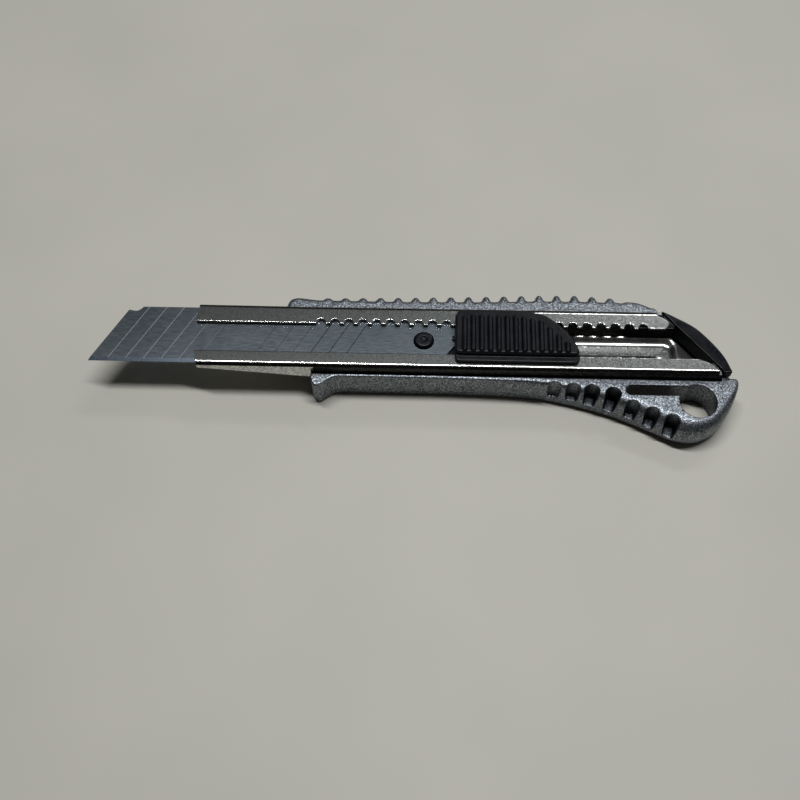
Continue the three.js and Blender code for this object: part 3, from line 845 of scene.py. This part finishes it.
def make_blade():
    """Scored blade with a clipped front corner, a cut heel, a pin hole and a ground bevel."""
    high = BLADE_LOW + BLADE_WIDTH
    z0, z1 = BLADE_Z, BLADE_Z + BLADE_THICK
    notch = curve_through(((13, high), (12.5, 17.0), (11.4, 16.3), (10.2, 16.35), (9, 16.6)), 4)
    blade = prism([
        (0, BLADE_LOW), (BLADE_LENGTH - HEEL_X, BLADE_LOW), (BLADE_LENGTH, BLADE_LOW + HEEL_Y),
        (BLADE_LENGTH, high), *notch,
    ], z0, z1, "snap_blade")
    cut(blade, prism(circle(PIN_X, PIN_Y, PIN_HOLE), z0 - 1, z1 + 1))
    for face_z, side in ((z1, 1), (z0, -1)):
        ends = []
        for x in (-5, 120):
            ends.append([
                (x, BLADE_LOW - 1, face_z - side),
                (x, BLADE_LOW + 0.02, (z0 + z1) / 2),
                (x, BLADE_LOW + BEVEL, face_z),
                (x, BLADE_LOW + BEVEL, face_z + side),
                (x, BLADE_LOW - 1, face_z + side),
            ])
        cut(blade, loft("cutter", ends))
    for k in range(1, SCORE_COUNT + 1):
        x = k * SCORE_PITCH
        groove = []
        for y in (BLADE_LOW - 1, high + 1):
            at = x + blade_slope(y)
            groove.append([
                (at - SCORE_HALF, y, z1 + 0.01),
                (at, y, z1 - SCORE_DEPTH),
                (at + SCORE_HALF, y, z1 + 0.01),
                (at, y, z1 + 0.3),
            ])
        cut(blade, loft("cutter", groove))
    hand_over(blade, "slider", "blade", BLADE_STEEL)
    blade.data.materials.append(GROUND)
    blade.data.materials.append(SCORED)
    ground, scored = 1, 2
    edge_y = row(0, BLADE_LOW + BEVEL, 0).y
    # painted shade: score grooves from X 62 back, inside the channel, take the dark ground material
    dark_from = row(62, 0, 0).x
    turned = 0.2
    # painted dark reflection on the ground bevel, painted shade on the rear score grooves
    for face in blade.data.polygons:
        along, up = abs(face.normal.x), abs(face.normal.z)
        if face.center.y < edge_y and along < turned:
            face.material_index = ground
        elif along > turned and up > turned:
            face.material_index = scored if face.center.x < dark_from else ground


# ---------------------------------------------------------------- slider and knob
def make_carrier():
    """Moulded slider under the knob: blade bed, pin, side shoes, and slots for the knob."""
    low, high = RAIL_LOW + SHEET + 0.4, RAIL_HIGH - SHEET - 0.4
    base, bed = FLOOR_TOP + 0.5, 9.6
    stem_from, stem_to = 11.8, 14.8
    pin_path = circle(PIN_X, PIN_Y, PIN_RADIUS)
    pin = soft_slab("pin", pin_path, lambda i: 0.1, lambda i: 0.6, 10, 13, 8)
    cut(pin, prism(circle(PIN_X, PIN_Y, 0.9, 32), 12.6, 14))
    wide = block(103.8, 118, low, high, base, SLIDER_TOP)
    tongue = block(86, 104.5, 2, 15, bed, BLADE_Z - GAP)
    step = block(BLADE_LENGTH + 0.4, 104.5, low + 0.4, high - 0.4, bed, SLIDER_TOP)
    narrow = block(117, 133.4, 3.6, 12, base, SLIDER_TOP)
    stem = block(108.4, 130.4, 3.6, 8.6, stem_from, stem_to)
    stop = block(127.75, 128.6, 8, 10.2, stem_from, stem_to)
    nib = block(101.2, 104.5, 7.9, 9.1, 12.3, 13.1)
    nib_root = block(102.4, 104.5, 7.9, 9.1, 11.8, 13.1)
    carrier = join(wide, tongue, step, narrow, stem, stop, nib, nib_root, pin)
    carrier.name = "slider_block"
    cast(carrier, voxel=0.14, rounds=0)
    for x in LEG_X:
        left, right = x - 0.35, x + LEG_THICK + KNOB_PLAY + 0.35
        cut(
            carrier,
            block(left, right, 4.6, 8.4, base - 1, 15),
            block(left, right, 4, 9, base - 1, 10.2),
        )
    cut(carrier, block(107.4, 108.5, 4.6, 8.4, base - 1, 15))
    cast(carrier, voxel=0.14, rounds=3)
    hand_over(carrier, "slider", "blade_carrier", KNOB_PLASTIC)


KNOB_REAR = (
    (136, 2.2), (135.4, 4.4), (133.9, 7.6),
    (130.9, 11.2), (127.8, 14), (125.6, 15), (122, 15.8), (117, 16.2),
)
KNOB_NEAR = 2.0


def knob_outline(near):
    """The knob from above, with its near side at the given height."""
    return [
        *curve_through(((101.9, near + 1.6), (102.3, near + 0.4), (103.4, near)), 6),
        *curve_through((
            (134.9, near), (135.7, near + 0.8), *[p for p in KNOB_REAR if p[1] > near + 1]), 6),
        *curve_through(((105, 16.2), (102.8, 15.6), (101.9, 13.8)), 6),
    ]


def knob_far(x):
    """Far ends of the ribs, which follow the knob's slanting rear."""
    return between(((104, 13.4), (107, 14.1), (120, 13.9), (125.8, 12.6), (133, 5.4)), x)


def make_knob():
    """Hollow thumb slider with cross ribs, a near-side ledge and two snap legs."""
    ledge = knob_outline(0.2)
    crown = knob_outline(KNOB_NEAR)
    ribs = []
    for k in range(RIB_COUNT):
        x = RIB_FIRST + k * RIB_PITCH
        near, far = KNOB_NEAR + 0.35, knob_far(x)
        left, right = x - RIB_HALF, x + RIB_HALF
        outline = [
            *curve_through(((left, near + 0.5), (x, near), (right, near + 0.5)), 4),
            *curve_through(((right, far - 0.5), (x, far), (left, far - 0.5)), 4),
        ]
        ribs.append(soft_slab(
            "rib", outline, lambda i: 0.05, lambda i: 0.45, KNOB_TOP - 0.6, RIB_TOP, 6))
    knob = join(
        soft_slab("thumb_slider", ledge, lambda i: 0.1, lambda i: 0.35,
                  KNOB_BASE, KNOB_BASE + 1.0, 5),
        soft_slab("crown", crown, lambda i: 0.1, lambda i: 0.7, KNOB_BASE, KNOB_TOP, 6),
        *ribs,
    )
    knob.name = "thumb_slider"
    cast(knob, voxel=0.12, rounds=0)
    room = block(104, 131, 3.1, 13.2, KNOB_BASE - 1, 15.2)
    cut(room, prism([(126.3, 13.3), (131.1, 8.7), (133, 13.3)], KNOB_BASE - 2, 16))
    cut(knob, room)
    for x in LEG_X:
        join(
            knob,
            block(x, x + LEG_THICK, 5, 8, 9, 15.4),
            block(x, x + LEG_THICK, 4.4, 8.6, 9, 9.8),
        )
    cast(knob, voxel=0.12, rounds=2)
    hand_over(knob, "knob", "thumb_knob", KNOB_PLASTIC)


# ---------------------------------------------------------------- end cap
def make_cap():
    """Crescent end cap: snap slot in its curved rear, and two prongs inside the channel."""
    outer = curve_through(((177, -0.9), *CAP_CURVE), 8)
    low, high = RAIL_LOW + SHEET + CAP_ROOM, RAIL_HIGH - SHEET - CAP_ROOM
    under_lip = RAIL_TOP - SHEET - CAP_ROOM
    crescent = prism([*outer, (160.85, 17), (174.65, -0.3), (174.65, -0.9)],
                     BED + GAP, RAIL_TOP - GAP, "snap_cap")
    cut(crescent, block(170, 180, -3, TAB_Y + GAP, BED, RIM + GAP))
    join(
        crescent,
        block(150.6, 175.6, low, 2.4, RIM + GAP, under_lip),
        block(150.6, 163, 13.2, high, FLOOR_TOP + CAP_ROOM, under_lip),
    )
    cast(crescent, voxel=0.13, rounds=0)
    slit = prism([(184, -0.5), (172, 2), (160, 16.5), (172, 22)], 9.2, 10.1)
    cut(slit, prism([
        (174.2, -1.6), (172.6, 3.5), (169, 8.8), (164, 13.8), (160, 16),
        (150, 30), (150, -10), (174, -10),
    ], 9, 10.3))
    cut(crescent, slit)
    cast(crescent, voxel=0.12, rounds=5)
    hand_over(crescent, "cap", "end_cap", CAP_PLASTIC)


def dress_cad_nodes():
    """The small inner steel parts keep their CAD shape and get a bevel and a material."""
    for name in ("rail_rivet_front", "rail_rivet_rear", "lock_spring"):
        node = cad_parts[name]
        node.data.materials.clear()
        node.data.materials.append(PLATED)
        bevel = node.modifiers.new("bevel", "BEVEL")
        bevel.width = 0.1 * MM
        bevel.segments = 2
        bevel.limit_method = "ANGLE"


make_handle()
make_rail()
make_blade()
make_carrier()
make_knob()
make_cap()
dress_cad_nodes()


# ---------------------------------------------------------------- stage, light and camera
def floor():
    """Plain pale table, a hair under the knife."""
    n = Nodes("table")
    n.fix(Roughness=0.55)
    n.plug(Base_Color=n.ramp(n.noise(60, 2), [
        (0.35, (0.51, 0.499, 0.446)),
        (0.65, (0.535, 0.522, 0.467)),
    ]))
    bm = bmesh.new()
    bmesh.ops.create_grid(bm, x_segments=8, y_segments=8, size=1.5)
    made = piece("floor", bm)
    made.data.materials.append(n.material)
    made.location.z = -0.00002


def panel(name, place, target, width, depth, watts):
    """Rectangular area lamp at a place, turned to a target, in metres."""
    lamp = bpy.data.lights.new(name, "AREA")
    lamp.shape = "RECTANGLE"
    lamp.size, lamp.size_y = width, depth
    lamp.energy = watts
    made = bpy.data.objects.new(name, lamp)
    made.location = place
    aim = Vector(target) - Vector(place)
    made.rotation_euler = aim.to_track_quat("-Z", "Y").to_euler()
    bpy.context.scene.collection.objects.link(made)


# light of the room by how near a direction is to the pale side, high up at the far right
PALE_SIDE = (0.50, 0.45, 0.74)
SKY = (
    (0.0, (0.040, 0.039, 0.036)),
    (0.45, (0.028, 0.027, 0.025)),
    (0.62, (0.020, 0.019, 0.018)),
    (0.74, (0.054, 0.057, 0.059)),
    (0.865, (0.118, 0.127, 0.132)),
    (0.96, (0.185, 0.196, 0.202)),
    (1.0, (0.215, 0.227, 0.232)),
)


def sky():
    """Dim room with one broad, cool, pale side."""
    world = bpy.data.worlds.new("studio")
    world.use_nodes = True
    tree = world.node_tree
    place = tree.nodes.new("ShaderNodeTexCoord")
    toward = tree.nodes.new("ShaderNodeVectorMath")
    toward.operation = "DOT_PRODUCT"
    toward.inputs[1].default_value = Vector(PALE_SIDE).normalized()
    ramp = tree.nodes.new("ShaderNodeValToRGB")
    fill_ramp(ramp, SKY)
    tree.links.new(place.outputs["Generated"], toward.inputs[0])
    tree.links.new(toward.outputs["Value"], ramp.inputs["Fac"])
    tree.links.new(ramp.outputs["Color"], tree.nodes["Background"].inputs["Color"])
    tree.nodes["Background"].inputs["Strength"].default_value = 1.0
    bpy.context.scene.world = world


def light():
    """One long overhead tube along X, and a shorter one further back on the right."""
    sky()
    panel("tube", (0.03, 0.11, 0.9), (0, 0, 0), width=0.7, depth=0.05, watts=6.0)
    panel("far_tube", (0.36, 0.82, 0.9), (0.06, 0, 0), width=0.5, depth=0.07, watts=1.5)


# the camera's place in the drawing frame, and the directions of its own axes
CAMERA_PLACE = (97.5, -138.9, 249.1)
CAMERA_RIGHT = (0.99909, 0.03542, -0.02369)
CAMERA_UP = (-0.01991, 0.87948, 0.4754)


def camera():
    """The photo's view: 45 mm lens, 61.6 degrees above the table, a little roll and turn."""
    data = bpy.data.cameras.new("camera")
    data.lens = 45
    data.sensor_width = 36
    data.clip_start = 0.01
    made = bpy.data.objects.new("camera", data)
    right, up = Vector(CAMERA_RIGHT), Vector(CAMERA_UP)
    back = right.cross(up)
    turn = Matrix((right, up, back)).transposed().to_4x4()
    made.matrix_world = Matrix.Translation(row(*CAMERA_PLACE)) @ turn
    bpy.context.scene.collection.objects.link(made)
    bpy.context.scene.camera = made


floor()
light()
camera()
bpy.context.scene.view_settings.view_transform = "Standard"
